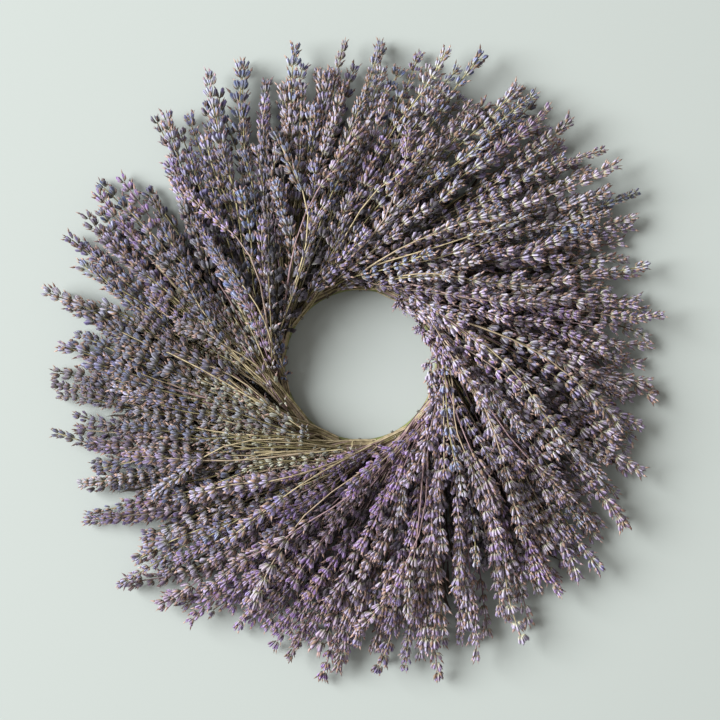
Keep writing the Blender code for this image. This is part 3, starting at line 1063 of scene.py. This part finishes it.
def tie_points(number, middle):
    """A wire wound round the ring and the bound stems of one bunch."""
    tie = TIES[number]
    outward = Vector((math.cos(tie), math.sin(tie), 0))
    heading = Vector((math.sin(tie), -math.cos(tie), 0))
    low = TIE_WIRE / 2
    top = BAR_Z + BAR_HALF_THICKNESS + GAP + TIE_WIRE / 2
    half = BAR_HALF_WIDTH + GAP + TIE_WIRE / 2
    points = []
    for i in range(int(TIE_TURNS * TIE_TURN_STEPS) + 1):
        a = 2 * math.pi * i / TIE_TURN_STEPS + TIE_START
        c, s = math.cos(a), math.sin(a)
        # From a narrow loop under the ring to a wide one over the stems
        rise = (s + 1) / 2
        x_mid = RING_RADIUS + (TANGENT - RING_RADIUS) * rise
        half_width = (RING_WIRE_RADIUS + GAP + TIE_WIRE / 2) * (1 - rise) + half * rise
        flat = math.copysign(abs(c) ** 0.7, c)
        z = low + (top - low) * rise
        along = TIE_PITCH * (i / TIE_TURN_STEPS - TIE_TURNS / 2)
        spot = (x_mid + half_width * flat * (0.65 + 0.35 * math.sin(math.pi * rise))) * outward
        points.append(spot + along * heading + Vector((0, 0, z)) - middle)
    return points


def window_light():
    """Even light from a wide window, aimed at the middle of the floor."""
    lamp = bpy.data.lights.new("window", "AREA")
    lamp.shape = "DISK"
    lamp.size = WINDOW_WIDTH
    lamp.energy = WINDOW_POWER
    lamp.color = WINDOW_SHADE
    obj = placed("window", lamp)
    obj.location = WINDOW
    obj.rotation_euler = Vector(WINDOW).to_track_quat("Z", "Y").to_euler()


def room_light():
    """The soft light that pale walls give back."""
    world = bpy.data.worlds.new("room")
    bpy.context.scene.world = world
    world.use_nodes = True
    background = world.node_tree.nodes["Background"]
    background.inputs["Color"].default_value = colour("#f6efe6")
    background.inputs["Strength"].default_value = ROOM_LIGHT


def camera_above():
    """A camera that looks straight down on the wreath."""
    lens = bpy.data.cameras.new("camera")
    lens.sensor_width = 36
    lens.lens = lens.sensor_width * (CAMERA[2] - FIELD_HEIGHT) / FIELD_WIDTH
    obj = placed("camera", lens)
    obj.location = CAMERA
    bpy.context.scene.camera = obj


def plain_floor():
    """The floor, a hair below the wreath."""
    mesh = bpy.data.meshes.new("floor")
    ends = (-FLOOR_HALF, FLOOR_HALF)
    corners = [(x, y, FLOOR_Z) for y in ends for x in ends]
    mesh.from_pydata(corners, [], [(0, 1, 3, 2)])
    mesh.materials.append(floor_paint())
    return placed("floor", mesh)


camera_above()
bpy.context.scene.view_settings.view_transform = "Standard"
window_light()
room_light()
floor = plain_floor()

bunches = [sprigs_of(number) for number in range(BUNCHES)]
middle = middle_of_outline(bunches)
shapes = calyx_shapes()
leaf = leaf_shape()
tree = lavender_tree()
calyx_finish, stem_finish = dried_calyx(), dried_stem()
for number, sprigs in enumerate(bunches):
    name = f"lavender_{number + 1:02d}"
    lines = bunch_stems(number, sprigs).mesh(name + "_lines", middle)
    inputs = {
        "Calyx Shapes": shapes, "Leaf": leaf, "Fan": FAN, "Least Tilt": LEAST_TILT,
        "Most Tilt": MOST_TILT, "Stem Sides": STEM_SIDES, "Lowest": LOWEST,
        "Seed": SEED + number * 10, "Stem Finish": stem_finish, "Flower Finish": calyx_finish,
    }
    piece = grown(name, lines, tree, inputs)
    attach(piece, "root")
    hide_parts(f"bunch_{number + 1:02d}")
for shape in list(shapes.objects):
    bpy.data.objects.remove(shape)
bpy.data.collections.remove(shapes)
bpy.data.objects.remove(leaf)

centre = Vector((0, 0, GAP + TIE_WIRE + RING_WIRE_RADIUS)) - middle
turns = [2 * math.pi * i / RING_STEPS for i in range(RING_STEPS)]
circle = [centre + RING_RADIUS * Vector((math.cos(a), math.sin(a), 0)) for a in turns]
ring = swept_wire("ring", circle, RING_WIRE_RADIUS, True, lacquered_wire())
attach(ring, "root")
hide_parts("wire_ring")

wire_finish = annealed_wire()
for number in range(BUNCHES):
    name = f"binding_{number + 1:02d}"
    piece = swept_wire(name, tie_points(number, middle), TIE_WIRE / 2, False, wire_finish)
    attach(piece, "root")
    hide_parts(f"tie_{number + 1:02d}")
